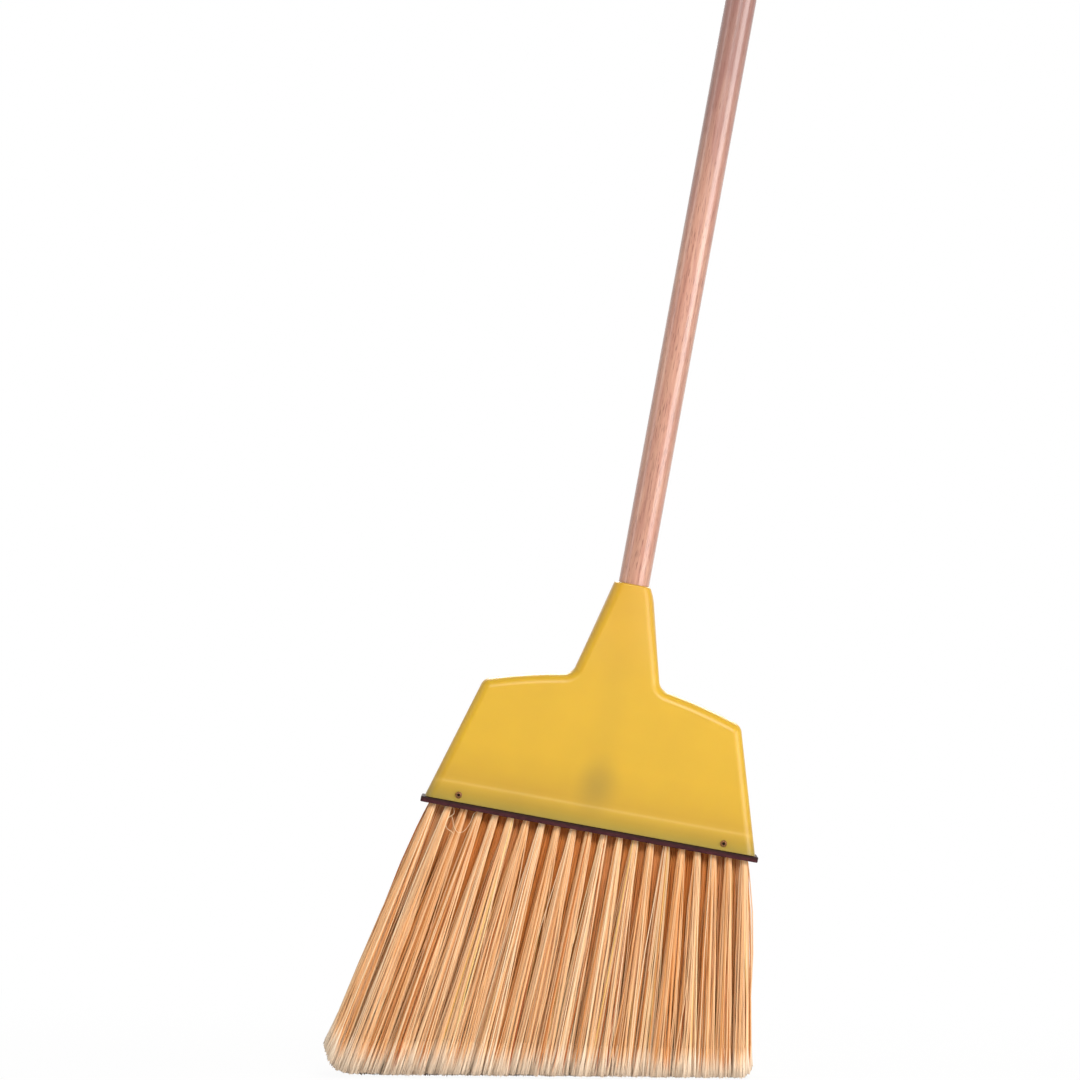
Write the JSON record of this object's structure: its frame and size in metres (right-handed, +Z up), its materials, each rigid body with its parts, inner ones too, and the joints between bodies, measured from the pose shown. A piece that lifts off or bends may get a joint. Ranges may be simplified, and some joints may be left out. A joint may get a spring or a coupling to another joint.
{
  "type": "angle broom",
  "caption": "Upright angle broom: round wooden handle screwed into a tufted block under a hollow plastic hood, with flared bristles trimmed at a slant.",
  "frame": {"origin": "on the floor, at the trimmed tip of the centre strand of the middle tuft, in the plane halfway between the broom's front and back", "axes": "+Z up from the floor that the bristle tips stand on; +X towards the side that the handle leans to, by 10 degrees; -Y is the pictured front"},
  "size_m": [0.4373, 0.0814, 1.4137],
  "materials": {
    "handle_wood": "clear lacquer, satin",
    "hood_plastic": "moulded, slightly translucent, satin",
    "block_plastic": "moulded, satin",
    "bristles": "extruded filament with split tips",
    "screw_steel": "bronzed"
  },
  "bodies": {
    "root": {"handle": "handle_wood", "hood": "hood_plastic", "block": "block_plastic", "hood_screw_front_left": "screw_steel", "hood_screw_front_right": "screw_steel", "hood_screw_back_left": "screw_steel", "hood_screw_back_right": "screw_steel", "bristle_column_01": "bristles", "bristle_column_02": "bristles", "bristle_column_03": "bristles", "bristle_column_04": "bristles", "bristle_column_05": "bristles", "bristle_column_06": "bristles", "bristle_column_07": "bristles", "bristle_column_08": "bristles", "bristle_column_09": "bristles", "bristle_column_10": "bristles", "bristle_column_11": "bristles", "bristle_column_12": "bristles", "bristle_column_13": "bristles", "bristle_column_14": "bristles", "bristle_column_15": "bristles", "bristle_column_16": "bristles", "bristle_column_17": "bristles", "bristle_column_18": "bristles", "bristle_column_19": "bristles", "bristle_column_20": "bristles", "bristle_column_21": "bristles"}
  },
  "joints": []
}
